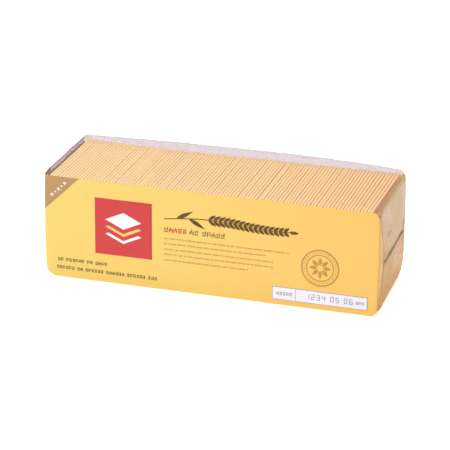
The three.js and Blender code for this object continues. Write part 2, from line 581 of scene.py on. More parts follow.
def clear_finish(name, tint, alpha, roughness=0.3, clouds=0.04, crease=0.15 * MM, lower=None):
    """Clear or cloudy film: it shows by its tint, its gloss and its soft creases.

    lower gives a second tint and the two heights between which it turns into the first.
    """
    finish = Finish(name, tint, roughness, alpha)
    cloudy = finish.noise(scale=26, detail=3)
    if lower:
        low_tint, low, high = lower
        tinted = finish.ramp(finish.share(cloudy, "Z", low, high), low_tint, tint, 0.1, 1.0)
    else:
        tinted = finish.ramp(cloudy, scaled(tint, 1 - clouds), scaled(tint, 1 + clouds))
    finish.feed("Base Color", tinted)
    finish.uneven_roughness(scale=70, detail=2, low=0.8 * roughness, high=1.3 * roughness)
    finish.bump(scale=45, detail=2, height=crease, strength=0.5)
    finish.set("Specular IOR Level", 0.3)
    return finish.material


def cheese_finish(name, colour, shaded_right_colour, depth):
    """Soft, even cheese in its own glossy wrap. Its colour turns into the second to the right.

    depth tells how much of the light goes through the cheese.
    """
    finish = Finish(name, colour, roughness=0.45)
    # painted shade: the colour darkens towards the right end, for the light falling off along the
    # pack
    shade = finish.share(finish.noise(scale=90, detail=5))
    finish.feed("Base Color", finish.ramp(shade, colour, shaded_right_colour, 0, 1.1))
    finish.bump(scale=500, detail=3, height=0.04 * MM, strength=0.3)
    finish.set("Subsurface Weight", depth)
    finish.set("Subsurface Radius", (1.0, 0.55, 0.25))
    finish.set("Subsurface Scale", 5 * MM * depth)
    finish.set("Coat Weight", 0.25)
    finish.set("Coat Roughness", 0.25)
    return finish.material


# Slices

# Each ring of a slice: its place across the thickness, and its inset in millimetres
SLAB_RINGS = ((-1, 0.6), (-0.93, 0.26), (-0.72, 0.06), (0.72, 0.06), (0.93, 0.26), (1, 0.6))
EDGE_BANDS = (1, 2, 3)
SLAB_SIDE_POINTS = 9
SLAB_CORNER = 1.6 * MM
SLAB_CORNER_POINTS = 3
SLAB_WAVE = 0.06 * MM
SLAB_WAVE_SCALE = Vector((90, 25, 25))
SLICE_SEED = 7
SMALL_SHIFT = 0.06
WIDE_SHIFT = 0.2 * MM
WIDE_GAPS = 0.14
LEAN = 0.0005
FANNED = 8
FAN = 1.4 * MM
FAN_POWER = 1.3
EDGE_DEPTH = 0.2
SIDE_DEPTH = 0.8
SIDE_SHADE = 0.96
# How far the slices reach backwards at places along the stack
BACK_WANDER = ((0.0, 1.4 * MM), (0.3, -1.2 * MM), (0.62, 0.2 * MM), (1.0, 1.7 * MM))


def square_outline(low, high, corner, side_points):
    """A square's outline in Y and Z with small round corners, as (y, z, outward y, outward z)."""
    corners = (
        (high[0] - corner, high[1] - corner),
        (low[0] + corner, high[1] - corner),
        (low[0] + corner, low[1] + corner),
        (high[0] - corner, low[1] + corner),
    )
    rounds = []
    for quarter, (centre_y, centre_z) in enumerate(corners):
        arc = []
        for share in fractions(SLAB_CORNER_POINTS - 1):
            turn = 0.5 * math.pi * (quarter + share)
            out_y, out_z = math.cos(turn), math.sin(turn)
            arc.append((centre_y + corner * out_y, centre_z + corner * out_z, out_y, out_z))
        rounds.append(arc)
    outline = []
    for arc, next_arc in zip(rounds, rounds[1:] + rounds[:1]):
        outline += arc
        last, first = arc[-1], next_arc[0]
        for t in fractions(side_points)[1:-1]:
            y = last[0] + (first[0] - last[0]) * t
            z = last[1] + (first[1] - last[1]) * t
            outline.append((y, z, last[2], last[3]))
    return outline


def end_lift(x, y):
    """How far the round feet of the film lift a slice's lower edge off the floor."""
    lift = 0.0
    for end, side in ENDS.items():
        foot = foot_round(end, y)
        run = side * x - (RIGHT - foot)
        if run > 0:
            lift = max(lift, foot - math.sqrt(max(0.0, foot**2 - run**2)))
    return lift


def slice_places():
    """Each slice's middle, top, back, lean and fan, drawn at random from one seed.

    The last slices fan out at their backs, towards the right end.
    """
    slices = settings("slices")
    draws = random.Random(SLICE_SEED)
    pitch = (STACK_HIGH.x - STACK_LOW.x) / slices.count
    places = []
    for i in range(slices.count):
        shift = draws.uniform(-SMALL_SHIFT, SMALL_SHIFT) * MM
        if draws.random() < WIDE_GAPS * i / slices.count:
            shift = WIDE_SHIFT
        middle = STACK_LOW.x + (i + 0.5) * pitch + shift
        top = STACK_HIGH.z - draws.random() * slices.unevenness
        back = STACK_HIGH.y - draws.random() * 2 * slices.unevenness
        back += between(BACK_WANDER, i / slices.count, soft=True)
        fan = FAN * max(0.0, 1 - (slices.count - 1 - i) / FANNED) ** FAN_POWER
        places.append((middle, top, back, draws.uniform(-1, 1) * LEAN, fan))
    return places


def fan_share(y):
    """How much of its fan a slice has at a depth."""
    return (y - STACK_LOW.y) / (STACK_HIGH.y - STACK_LOW.y)


class CHEESEPACK_OT_slices(bpy.types.Operator):
    """Add the hundred wrapped slices of cheese"""

    bl_idname = "cheese_pack.slices"
    bl_label = "Cheese slices"

    def execute(self, context):
        slices = settings("slices")
        slabs = ([], [], [])
        for middle, top, back, lean, fan in slice_places():
            outline = square_outline(
                (STACK_LOW.y, STACK_LOW.z), (back, top), SLAB_CORNER, SLAB_SIDE_POINTS
            )
            self.add_slab(slabs, outline, middle, slices.thickness / 2, lean, fan)
        points, faces, inks = slabs
        # painted shade: the slabs' broad faces get their own darker copy of the cheese
        side_shade = scaled(slices.sides, SIDE_SHADE)
        finishes = [
            cheese_finish("Cheese", slices.cheese, slices.cheese_right, EDGE_DEPTH),
            cheese_finish("Cheese sides", slices.sides, side_shade, SIDE_DEPTH),
        ]
        add_piece("cheese_slices", points, faces, finishes, ("slice_stack",), inks)
        return {"FINISHED"}

    def add_slab(self, slabs, outline, middle, half, lean, fan):
        """One slab round an outline: rings across its thickness, closed by two flat faces.

        Its narrow edge has the first finish, and its two broad sides have the second, a darker copy
        of the cheese as painted shade.
        """
        points, faces, inks = slabs
        start = len(points)
        size = len(outline)
        for ring_x, inset in SLAB_RINGS:
            for y, z, out_y, out_z in outline:
                wave_at = Vector((middle, y, z)) * SLAB_WAVE_SCALE
                x = middle + ring_x * half + lean * (z - STACK_LOW.z)
                x += SLAB_WAVE * noise.noise(wave_at) + fan * fan_share(y)
                edge_y = y - out_y * inset * MM
                edge_z = z - out_z * inset * MM
                foot = STACK_LOW.z + end_lift(x, edge_y)
                points.append((x, edge_y, max(edge_z, foot)))
        last = start + (len(SLAB_RINGS) - 1) * size
        for band, low in enumerate(range(start, last, size)):
            for i in range(size):
                j = (i + 1) % size
                faces.append([low + i, low + j, low + size + j, low + size + i])
                inks.append(0 if band in EDGE_BANDS else 1)
        faces.append([start + i for i in reversed(range(size))])
        faces.append([last + i for i in range(size)])
        inks += [1, 1]


# Outer film

TUCK = 14 * MM
TUCK_TOP = 81 * MM
TUCK_LIFT = 0.08 * MM
FOOT_TUCK = 22 * MM
BACK_PRINT_TOP = 76 * MM
FILM_STEP = 3 * MM

# How much of the light each film stops
ALPHA = {
    "top": 0.08,
    "creases": 0.1,
    "pinch": 0.2,
    "tuck": 0.25,
    "end": 0.4,
    "band": 0.46,
    "fold": 0.6,
    # the slack entry is the sheet of painted shade in the gap beside the last slice
    "slack": 0.6,
    "seal": 0.85,
}


def film_stations():
    """The stations of the film along X, Y and Z."""
    x = stations(LEFT, RIGHT, ROUNDEST_FOOT, ROUNDEST_FOOT, FILM_STEP)
    y = stations(
        FRONT,
        BACK,
        CORNER_ROUND["front"],
        BACK - RIDGE_Y,
        FILM_STEP,
        also=tuple(FRONT + behind for behind in FOOT_STATIONS[1:-1]),
    )
    z = stations(
        FOOT,
        PRINT_TOP,
        ROUNDEST_FOOT,
        SHOULDER_ROUND["right"],
        FILM_STEP,
        also=(FOOT_TUCK, BACK_PRINT_TOP, TUCK_TOP),
    )
    return x, y, z


def end_is_printed(y, z):
    """On an end, the print goes a short way round the near edge and up from the foot."""
    return (y < FRONT + TUCK and z < TUCK_TOP) or z < FOOT_TUCK


def end_panel(sheet, side, y, z, keep):
    """The part of one end for which keep is true."""
    sheet.panel(y, z, lambda a, b: (side * RIGHT, a, b), flip=side < 0, keep=keep)


class CHEESEPACK_OT_printed_film(bpy.types.Operator):
    """Add the printed yellow film of the front, bottom and back"""

    bl_idname = "cheese_pack.printed_film"
    bl_label = "Printed film"

    def execute(self, context):
        film = settings("film")
        x, y, z = film_stations()
        below_band = [height for height in z if height <= BACK_PRINT_TOP + SAME_PLACE]
        sheet = SheetMesh(film_place)
        sheet.panel(x, z, lambda a, b: (a, FRONT, b))
        sheet.panel(x, below_band, lambda a, b: (a, BACK, b), flip=True)
        sheet.panel(x, y, lambda a, b: (a, b, FOOT), flip=True)
        for side in ENDS.values():
            end_panel(sheet, side, y, z, end_is_printed)
        finish = printed_finish("Printed film", film.yellow, film.yellow_right)
        add_film("printed_film_skin", sheet, finish, ("printed_film",))
        return {"FINISHED"}


def folded_finish(name, alpha):
    """Cloudy film of the ends: deeper in colour low down, where the printed film backs it."""
    film = settings("film")
    lower = (film.fold_low_tint, FOOT, PRINT_TOP)
    return clear_finish(name, film.fold_tint, alpha, crease=FINE_CREASE, lower=lower)


class CHEESEPACK_OT_clear_film(bpy.types.Operator):
    """Add the clear film over the top, the cloudy band of the back and the ends"""

    bl_idname = "cheese_pack.clear_film"
    bl_label = "Clear film"

    def execute(self, context):
        x, y, z = film_stations()
        self.top(x, [depth for depth in y if depth <= RIDGE_Y + SAME_PLACE])
        self.band(
            x,
            [depth for depth in y if depth >= RIDGE_Y - SAME_PLACE],
            [height for height in z if height >= BACK_PRINT_TOP - SAME_PLACE],
        )
        for end, side in ENDS.items():
            self.end(end, side, y, z)
            self.tuck(end, side, y, z)
        return {"FINISHED"}

    def top(self, x, y):
        sheet = SheetMesh(film_place)
        sheet.panel(x, y, lambda a, b: (a, b, PRINT_TOP))
        finish = clear_finish("Clear film", settings("film").clear_tint, ALPHA["top"], 0.12)
        add_film("clear_film_top", sheet, finish, replaced=("clear_film",))

    def band(self, x, y, z):
        """The cloudy film from the ridge down to the top of the back's print."""
        film = settings("film")
        sheet = SheetMesh(film_place)
        sheet.panel(x, y, lambda a, b: (a, b, PRINT_TOP))
        sheet.panel(x, z, lambda a, b: (a, BACK, b), flip=True)
        lower = (film.band_low_tint, PRINT_TOP, PRINT_TOP + film.peak_rise)
        finish = clear_finish(
            "Cloudy film", film.band_tint, ALPHA["band"], crease=FINE_CREASE, lower=lower
        )
        add_film("clear_film_band", sheet, finish)

    def end(self, end, side, y, z):
        """The film of one end, above and behind the print's tuck."""
        sheet = SheetMesh(film_place)
        end_panel(sheet, side, y, z, lambda a, b: not end_is_printed(a, b))
        add_film(f"clear_film_end_{end}", sheet, folded_finish(f"End film {end}", ALPHA["end"]))

    def tuck(self, end, side, y, z):
        """The cloudy film that lies over the print's tuck."""
        lift = Vector((side * TUCK_LIFT, 0, 0))
        sheet = SheetMesh(lambda a, b, c: film_place(a, b, c) + lift)
        end_panel(sheet, side, y, z, end_is_printed)
        finish = clear_finish(f"Tuck film {end}", settings("film").tuck_tint, ALPHA["tuck"])
        add_film(f"clear_film_tuck_{end}", sheet, finish)


# Creases

CREASE_SEED = 11
# painted highlight: the creases' pale tint stands for the film's gleam
CREASE_GLEAM_TINT = (0.95, 0.92, 0.95)
CREASE_LIFT = 0.05 * MM
CREASE_RISE = 0.16 * MM
CREASE_TIP = 0.02 * MM
CREASE_STEP = 2 * MM
CREASES_IN_FAN = 2
FAN_INWARD = 2.5 * MM
FAN_FORWARD = 1.5 * MM
FAN_STEP = 3.5 * MM
FAN_ANGLE = -0.25
FAN_TURN = -0.22
LOOSE_CREASES = 14
LOOSE_X = (LEFT + 12 * MM, RIGHT - 40 * MM)
LOOSE_Y = (RIDGE_Y - 26 * MM, RIDGE_Y - 3 * MM)


class CHEESEPACK_OT_film_creases(bpy.types.Operator):
    """Add the fine pulled creases of the clear film over the slices, tinted pale as painted
    highlights
    """

    bl_idname = "cheese_pack.film_creases"
    bl_label = "Film creases"

    def execute(self, context):
        draws = random.Random(CREASE_SEED)
        sheet = SheetMesh(lambda x, y, z: film_place(x, y, PRINT_TOP) + Vector((0, 0, z)))
        for side in ENDS.values():
            for i in range(CREASES_IN_FAN):
                inward = FAN_INWARD + i * FAN_STEP
                forward = FAN_FORWARD + draws.uniform(0, 2) * MM
                start = Vector((side * (RIGHT - inward), RIDGE_Y - forward))
                angle = FAN_ANGLE + FAN_TURN * i + draws.uniform(-0.08, 0.08)
                if side > 0:
                    angle = math.pi - angle
                self.crease(sheet, start, angle, draws.uniform(9, 24) * MM, draws)
        for _ in range(LOOSE_CREASES):
            start = Vector((draws.uniform(*LOOSE_X), draws.uniform(*LOOSE_Y)))
            angle = draws.uniform(-0.12, 0.12)
            self.crease(sheet, start, angle, draws.uniform(12, 34) * MM, draws)
        # painted highlight: a pale tint that makes each crease show as a gleaming streak
        finish = clear_finish("Creased film", CREASE_GLEAM_TINT, ALPHA["creases"], 0.12)
        add_film("clear_film_creases", sheet, finish)
        return {"FINISHED"}

    def crease(self, sheet, start, angle, length, draws):
        """A thin, slightly bent ridge that tapers to both of its ends."""
        along = direction(angle)
        across = left_of(along)
        bend = draws.uniform(-0.06, 0.06) * length
        width = draws.uniform(0.25, 0.5) * MM

        def at(t, v):
            bulge = math.sin(math.pi * t)
            half = width * bulge + CREASE_TIP
            point = start + along * length * t + across * (bend * bulge + half * v)
            inside_x = min(max(point.x, LEFT + MM), RIGHT - MM)
            inside_y = min(max(point.y, FRONT + MM), RIDGE_Y)
            return inside_x, inside_y, CREASE_LIFT + CREASE_RISE * (1 - v * v) * bulge

        steps = max(6, round(length / CREASE_STEP))
        sheet.panel(fractions(steps), fractions(4, -1, 1), at)


# Folds and seals of the ends

FOLD_NEAR = 1.2 * MM
FOLD_FAR = 2.5 * MM
FOLD_FOOT = 4 * MM
FOLD_TOP = {"left": 79 * MM, "right": 84 * MM}
FOLD_LIFT = 0.34 * MM
FOLD_EDGE_LIFT = 0.16 * MM
FOLD_SOFTNESS = 0.1
FOLD_PILLOW = 0.3 * MM
PILLOW_EVEN = 0.6
PILLOW_WAVE = 0.5
FOLD_WAVE_SCALE = Vector((45, 30, 3.1))
FOLD_CLOSE = (3 * MM, 5 * MM)
FOLD_STEP = 1.5 * MM
FOLD_STEPS = 60
SEAL_NEAR = Vector((-30.0 * MM, 40.4 * MM))
SEAL_FAR = Vector((33.5 * MM, 42.3 * MM))
SEAL_HEIGHT = 2.6 * MM
SEAL_THICKNESS = 0.25 * MM
SEAL_OUT = 0.6 * MM
SEAL_HANG = 0.4 * MM
SEAL_SWAY = 0.2 * MM
SEAL_RIB = 1.3 * MM
SEAL_RIB_HEIGHT = 0.1 * MM
SEAL_ROWS = 6
SEAL_TIP = 0.35
SEAL_TIP_SLOPE = 4
STRIP_CLOSE = (2 * MM, 4 * MM)
HEM_SPAN = (FRONT + 0.6 * MM, BACK - 3 * MM)
HEM_STEP = 0.8 * MM
HEM_FOOT = 50 * MM
HEM_TOP = 80.8 * MM
RIM_TOP = 83.2 * MM
HEM_DEPTH = 0.5 * MM
RIM_RIB = 0.3 * MM
RIM_RIB_LENGTH = 4.4 * MM
# Where the sheet of painted shade lies in the gap beside the last slice
GAP_SHADE_SPAN = (FRONT + 1.6 * MM, BACK - 5 * MM)
GAP_SHADE_STEP = 2 * MM
GAP_SHADE_HEIGHT = 84.4 * MM
GAP_SHADE_SAG = 0.3 * MM
GAP_SHADE_SLOPE = 2.4 * MM
GAP_SHADE_WAVE = 0.2 * MM
GAP_SHADE_NEAR_GAP = 0.1 * MM
GAP_SHADE_FAR_GAP = 0.7 * MM
PINCH_NEAR = Vector((-20.5 * MM, 56.6 * MM))
PINCH_FAR = Vector((-10.5 * MM, 58.4 * MM))
PINCH_HALF_WIDTH = 1.2 * MM
PINCH_RISE = 0.35 * MM
PINCH_LIFT = 0.1 * MM


def fold_side_places(z):
    """The near and the far edge of the top and bottom flap at a height.

    Both edges run from the end's corners to the ends of the seal.
    """
    places = []
    for seal_end, edge_y in ((SEAL_NEAR, FRONT + FOLD_NEAR), (SEAL_FAR, BACK - FOLD_FAR)):
        reach = PRINT_TOP - seal_end.y if z > seal_end.y else seal_end.y - FOOT
        t = min(abs(z - seal_end.y) / reach, 1.0)
        places.append(seal_end.x + (edge_y - seal_end.x) * t)
    return places


def fold_place(side):
    """Places the folded flap: u runs from its near to its far edge, and z is the height."""

    def place(u, z, _):
        near, far = fold_side_places(z)
        y = near + (far - near) * u
        pillow = math.sin(math.pi * u) * math.sin(math.pi * (z - FOLD_FOOT) / PRINT_TOP)
        inside = smooth(1 - abs(2 * u - 1), 0.0, FOLD_SOFTNESS)
        wave = noise.noise(Vector((y, z, side)) * FOLD_WAVE_SCALE)
        lift = FOLD_EDGE_LIFT + (FOLD_LIFT - FOLD_EDGE_LIFT) * inside
        out = lift + FOLD_PILLOW * pillow * (PILLOW_EVEN + PILLOW_WAVE * wave)
        return film_place(side * RIGHT, y, z) + Vector((side * out, 0, 0))

    return place


class CHEESEPACK_OT_end_folds(bpy.types.Operator):
    """Add the folded flap over each end"""

    bl_idname = "cheese_pack.end_folds"
    bl_label = "End folds"

    def execute(self, context):
        for end, side in ENDS.items():
            up = stations(FOLD_FOOT, FOLD_TOP[end], *FOLD_CLOSE, FOLD_STEP)
            sheet = SheetMesh(fold_place(side))
            sheet.panel(fractions(FOLD_STEPS), up, flip=side < 0)
            add_film(f"end_fold_{end}", sheet, folded_finish(f"Folded film {end}", ALPHA["fold"]))
        return {"FINISHED"}


class CHEESEPACK_OT_end_hems(bpy.types.Operator):
    """Add the film that is folded inwards behind the top of each end, tinted at the left end as
    painted shade, and a dark sheet of painted shade in the gap beside the last slice
    """

    bl_idname = "cheese_pack.end_hems"
    bl_label = "End hems"

    def execute(self, context):
        film = settings("film")
        self.hem("end_hem_right", 1, HEM_FOOT, PRINT_TOP, film.fold_tint, 0.8)
        # painted shade: the left end's inner strips are dark brown below, for the shadowed gap
        # beside the first slice, reddish in the middle and dark brown again at the top edge, for
        # the shaded inside of the end
        self.hem("end_hem_left", -1, HEM_FOOT, HEM_TOP, film.hem_low_tint, 0.9)
        self.hem("end_rim_left", -1, HEM_TOP, RIM_TOP, film.hem_tint, 0.36, RIM_RIB)
        self.hem("end_edge_left", -1, RIM_TOP, PRINT_TOP, film.hem_low_tint, 0.4, RIM_RIB)
        self.slack()
        return {"FINISHED"}

    def hem(self, name, side, low, high, tint, alpha, rib=0.0):
        """A strip just inside an end, from a low to a high edge, with ribs if a size is given."""

        def place(y, z, _):
            ribbed = HEM_DEPTH + rib * math.cos(2 * math.pi * y / RIM_RIB_LENGTH)
            return film_place(side * RIGHT, y, z) - Vector((side * ribbed, 0, 0))

        across = stations(*HEM_SPAN, *STRIP_CLOSE, HEM_STEP)
        margin = 0.2 * (high - low)
        sheet = SheetMesh(place)
        sheet.panel(across, stations(low, high, margin, margin, FILM_STEP), flip=side < 0)
        title = name.replace("_", " ").capitalize()
        add_film(name, sheet, clear_finish(title, tint, alpha, clouds=0.06))

    def slack(self):
        """A dark reddish sheet in the gap between the last slice and the right end: painted shade
        of that gap.
        """

        def place(t, y, _):
            low = STACK_HIGH.x + FAN * fan_share(y) + GAP_SHADE_NEAR_GAP
            high = film_place(RIGHT, y, GAP_SHADE_HEIGHT - GAP_SHADE_SLOPE).x - GAP_SHADE_FAR_GAP
            sag = GAP_SHADE_SAG * math.sin(math.pi * t) + GAP_SHADE_SLOPE * t
            wave = GAP_SHADE_WAVE * noise.noise(Vector((t, y * 60, 0)))
            return Vector((low + (high - low) * t, y, GAP_SHADE_HEIGHT - sag + wave))

        along = stations(*GAP_SHADE_SPAN, *STRIP_CLOSE, GAP_SHADE_STEP)
        sheet = SheetMesh(place)
        sheet.panel(fractions(6), along)
        # painted shade: a dark reddish tint for the shadowed gap beside the last slice
        tint = settings("film").slack_tint
        finish = clear_finish("Slack film", tint, ALPHA["slack"], crease=2 * FINE_CREASE)
        add_film("slack_film_right", sheet, finish)


class CHEESEPACK_OT_end_seals(bpy.types.Operator):
    """Add the ribbed seal that closes each end, and the pinch above it"""

    bl_idname = "cheese_pack.end_seals"
    bl_label = "End seals"

    def execute(self, context):
        for end, side in ENDS.items():
            self.seal(end, side)
            self.pinch(end, side)
        return {"FINISHED"}

    def seal(self, end, side):
        """The ribbed strip, which stands off a little at its lower edge."""
        length = (SEAL_FAR - SEAL_NEAR).length

        def place(t, v, _):
            y, z = SEAL_NEAR.lerp(SEAL_FAR, t)
            rib = SEAL_RIB_HEIGHT * math.cos(2 * math.pi * t * length / SEAL_RIB)
            sway = SEAL_SWAY * noise.noise(Vector((y * 60, v, side)))
            out = SEAL_OUT + SEAL_HANG * (1 - v) ** 2 + rib + sway
            taper = min(1.0, SEAL_TIP + SEAL_TIP_SLOPE * min(t, 1 - t))
            z -= SEAL_HEIGHT * (0.5 + (0.5 - v) * taper)
            return film_place(side * RIGHT, y, z) + Vector((side * out, 0, 0))

        sheet = SheetMesh(place)
        sheet.panel(fractions(4 * round(length / SEAL_RIB)), fractions(SEAL_ROWS), flip=side < 0)
        # painted shadow: the dark tint stands for the shadow under the seal's lower edge, besides
        # the real shadow the standing-off strip casts
        tint = settings("film").seal_tint
        finish = clear_finish(f"Sealed film {end}", tint, ALPHA["seal"], 0.35)
        add_film(f"end_seal_{end}", sheet, finish, thickness=SEAL_THICKNESS)

    def pinch(self, end, side):
        """A short crease above the seal, where the film is pinched."""
        along = PINCH_FAR - PINCH_NEAR
        across = left_of(along).normalized()
        on_fold = fold_place(side)

        def place(t, v, _):
            bulge = math.sin(math.pi * t)
            y, z = PINCH_NEAR + along * t + across * (PINCH_HALF_WIDTH * bulge + CREASE_TIP) * v
            near, far = fold_side_places(z)
            out = PINCH_LIFT + PINCH_RISE * (1 - v * v) * bulge
            return on_fold((y - near) / (far - near), z, 0) + Vector((side * out, 0, 0))

        sheet = SheetMesh(place)
        sheet.panel(fractions(14), fractions(6, -1, 1), flip=side < 0)
        # painted shade: the seal's dark tint darkens the pinch as the shade in its crease
        tint = settings("film").seal_tint
        finish = clear_finish(f"Pinched film {end}", tint, ALPHA["pinch"], 0.35)
        add_film(f"end_pinch_{end}", sheet, finish)


# Printed shapes

INK_LIFT = 0.06 * MM
INK_THICKNESS = 0.8 * INK_LIFT

# Plain marks: each is a few bars as (u, v, width, height), in shares of the mark's height
MARKS = (
    ((0.0, 0.0, 0.22, 1.0), (0.34, 0.3, 0.4, 0.22), (0.34, 0.74, 0.4, 0.2)),
    ((0.0, 0.72, 0.72, 0.2), (0.12, 0.0, 0.24, 0.6), (0.5, 0.0, 0.2, 0.6)),
    ((0.0, 0.0, 0.2, 0.7), (0.28, 0.3, 0.2, 0.7), (0.56, 0.0, 0.2, 0.7)),
    ((0.0, 0.7, 0.24, 0.3), (0.36, 0.0, 0.26, 1.0), (0.0, 0.1, 0.24, 0.36)),
    ((0.0, 0.04, 0.72, 0.22), (0.48, 0.4, 0.24, 0.6), (0.06, 0.44, 0.26, 0.4)),
)
MARK_STEP = 0.9
WORD_GAP = 0.6


class PrintSheet:
    """Flat shapes on the front or the back, laid on the film's own form.

    u runs to the right and v upwards, from the panel's lower left corner as it is looked at.
    """

    def __init__(self, name, face="front"):
        self.name = name
        self.face = face
        self.flat = bmesh.new()
        self.inks = []

    def ink(self, material):
        if material not in self.inks:
            self.inks.append(material)
        return self.inks.index(material)

    def shape(self, corners, material, layer=0):
        """One flat shape. Shapes of a higher layer lie on those below them."""
        verts = [self.flat.verts.new((u, v, layer + 1)) for u, v in corners]
        face = self.flat.faces.new(verts)
        face.material_index = self.ink(material)

    def bar(self, u, v, width, height, material, layer=0):
        corners = [(u, v), (u + width, v), (u + width, v + height), (u, v + height)]
        self.shape(corners, material, layer)

    def framed(self, u, v, width, height, line, frame_ink, ground_ink):
        """A ground with a thin frame round it."""
        self.bar(u, v, width, height, frame_ink)
        self.bar(u + line, v + line, width - 2 * line, height - 2 * line, ground_ink, 1)

    def ring(self, centre, outer, inner, material, steps=48):
        turns = [direction(2 * math.pi * t) for t in fractions(steps)]
        for a, b in zip(turns, turns[1:]):
            edge = (a * inner, a * outer, b * outer, b * inner)
            self.shape([centre + point for point in edge], material)

    def leaf(self, base, angle, length, width, material, steps=8):
        """A pointed oval that starts at base."""
        along = direction(angle)
        edge = []
        for side in (1, -1):
            for t in fractions(steps)[:-1]:
                t = t if side > 0 else 1 - t
                half = 0.5 * width * math.sin(math.pi * t**0.8)
                edge.append(base + along * length * t + left_of(along) * half * side)
        self.shape(reversed(edge), material)

    def marks(self, u, v, length, height, material, draws, layer=0, word=4):
        """A line of plain marks in groups of at most that many."""
        end = u + length
        left_in_word = draws.randint(2, word)
        while u < end - height:
            for du, dv, width, tall in draws.choice(MARKS):
                at = (u + du * height, v + dv * height)
                self.bar(*at, width * height, tall * height, material, layer)
            u += MARK_STEP * height
            left_in_word -= 1
            if left_in_word == 0:
                u += WORD_GAP * height
                left_in_word = draws.randint(2, word)

    def to_film(self, u, v, height):
        lift = INK_LIFT * height
        if self.face == "back":
            return film_place(RIGHT - u, BACK, FOOT + v) + Vector((0, lift, 0))
        if u < 0:
            return film_place(LEFT, FRONT - u, FOOT + v) + Vector((-lift, 0, 0))
        return film_place(LEFT + u, FRONT, FOOT + v) + Vector((0, -lift, 0))

    def finish(self):
        x, y, z = film_stations()
        if self.face == "back":
            along = [RIGHT - place for place in x]
        else:
            along = [FRONT - depth for depth in y] + [place - LEFT for place in x]
        self.cut(Vector((1, 0, 0)), along)
        self.cut(Vector((0, 1, 0)), [height - FOOT for height in z])
        bmesh.ops.remove_doubles(self.flat, verts=self.flat.verts, dist=SAME_PLACE)
        self.flat.verts.index_update()
        points = [self.to_film(*vert.co) for vert in self.flat.verts]
        faces = [[vert.index for vert in face.verts] for face in self.flat.faces]
        face_inks = [face.material_index for face in self.flat.faces]
        self.flat.free()
        piece = add_piece(
            self.name, points, faces, self.inks, face_inks=face_inks
        )
        thicken(piece, INK_THICKNESS)

    def cut(self, normal, places):
        """Cuts the shapes at the film's stations, so that they follow its faces."""
        reach = [vert.co.dot(normal) for vert in self.flat.verts]
        low, high = min(reach), max(reach)
        for place in places:
            if low < place < high:
                everything = [*self.flat.verts, *self.flat.edges, *self.flat.faces]
                bmesh.ops.bisect_plane(
                    self.flat, geom=everything, plane_co=normal * place, plane_no=normal
                )


def inks():
    """The printing inks by name, made once."""
    made = {}
    for name in InkSettings.__annotations__:
        title = f"Ink {name}"
        colour = tuple(getattr(settings("inks"), name))
        made[name] = bpy.data.materials.get(title) or printed_finish(title, colour)
    return made


class CHEESEPACK_OT_corner_print(bpy.types.Operator):
    """Add the tan corner of the front with its five marks"""

    bl_idname = "cheese_pack.corner_print"
    bl_label = "Corner print"

    LEG = 28.8 * MM
    ROUND_THE_END = 13.8 * MM
    FIRST_MARK = Vector((6.6 * MM, -15.6 * MM))
    STEP = Vector((2.592 * MM, 2.592 * MM))
    HALF_SIZES = (1.5 * MM, 1.0 * MM, 1.5 * MM, 1.0 * MM, 1.5 * MM)

    def execute(self, context):
        ink = inks()
        top = PRINT_TOP - FOOT
        far = -self.ROUND_THE_END
        sheet = PrintSheet("corner_print")
        sheet.shape([(far, top - self.LEG + far), (self.LEG, top), (far, top)], ink["tan"])
        for i, half in enumerate(self.HALF_SIZES):
            u, v = Vector((0, top)) + self.FIRST_MARK + self.STEP * i
            corners = [(u - half, v), (u, v - half), (u + half, v), (u, v + half)]
            sheet.shape(corners, ink["cream"], layer=1)
        sheet.finish()
        return {"FINISHED"}


class CHEESEPACK_OT_tile_print(bpy.types.Operator):
    """Add the red tile with its stack of three slices"""

    bl_idname = "cheese_pack.tile_print"
    bl_label = "Tile print"

    LOW = Vector((41.6 * MM, 24.2 * MM))
    SIZE = 46.9 * MM
    ASIDE = Vector((15 * MM, 0))
    AHEAD = Vector((0, -7 * MM))
    STEP = Vector((0, 6 * MM))
    EDGE = 2.2 * MM

    def execute(self, context):
        ink = inks()
        yellow = bpy.data.materials["Printed film"]
        centre = self.LOW + Vector((self.SIZE, self.SIZE)) / 2
        sheet = PrintSheet("tile_print")
        sheet.bar(*self.LOW, self.SIZE, self.SIZE, ink["red"])
        for level, colour in ((-1, ink["cream"]), (0, yellow)):
            self.slice_edge(sheet, centre + self.STEP * level, colour)
        top = centre + self.STEP
        around = (-self.ASIDE, self.AHEAD, self.ASIDE, -self.AHEAD)
        sheet.shape([top + reach for reach in around], ink["cream"], layer=1)
        sheet.finish()
        return {"FINISHED"}

    def slice_edge(self, sheet, middle, colour):
        """The two near edges of a slice that lies under another one."""
        front = middle + self.AHEAD
        low_front = front + Vector((0, 1.1)) * self.EDGE
        left = middle - self.ASIDE
        low_left = left + Vector((1.2, 0.55)) * self.EDGE
        right = middle + self.ASIDE
        low_right = right + Vector((-1.2, 0.55)) * self.EDGE
        sheet.shape([left, front, low_front, low_left], colour, layer=1)
        sheet.shape([front, right, low_right, low_front], colour, layer=1)


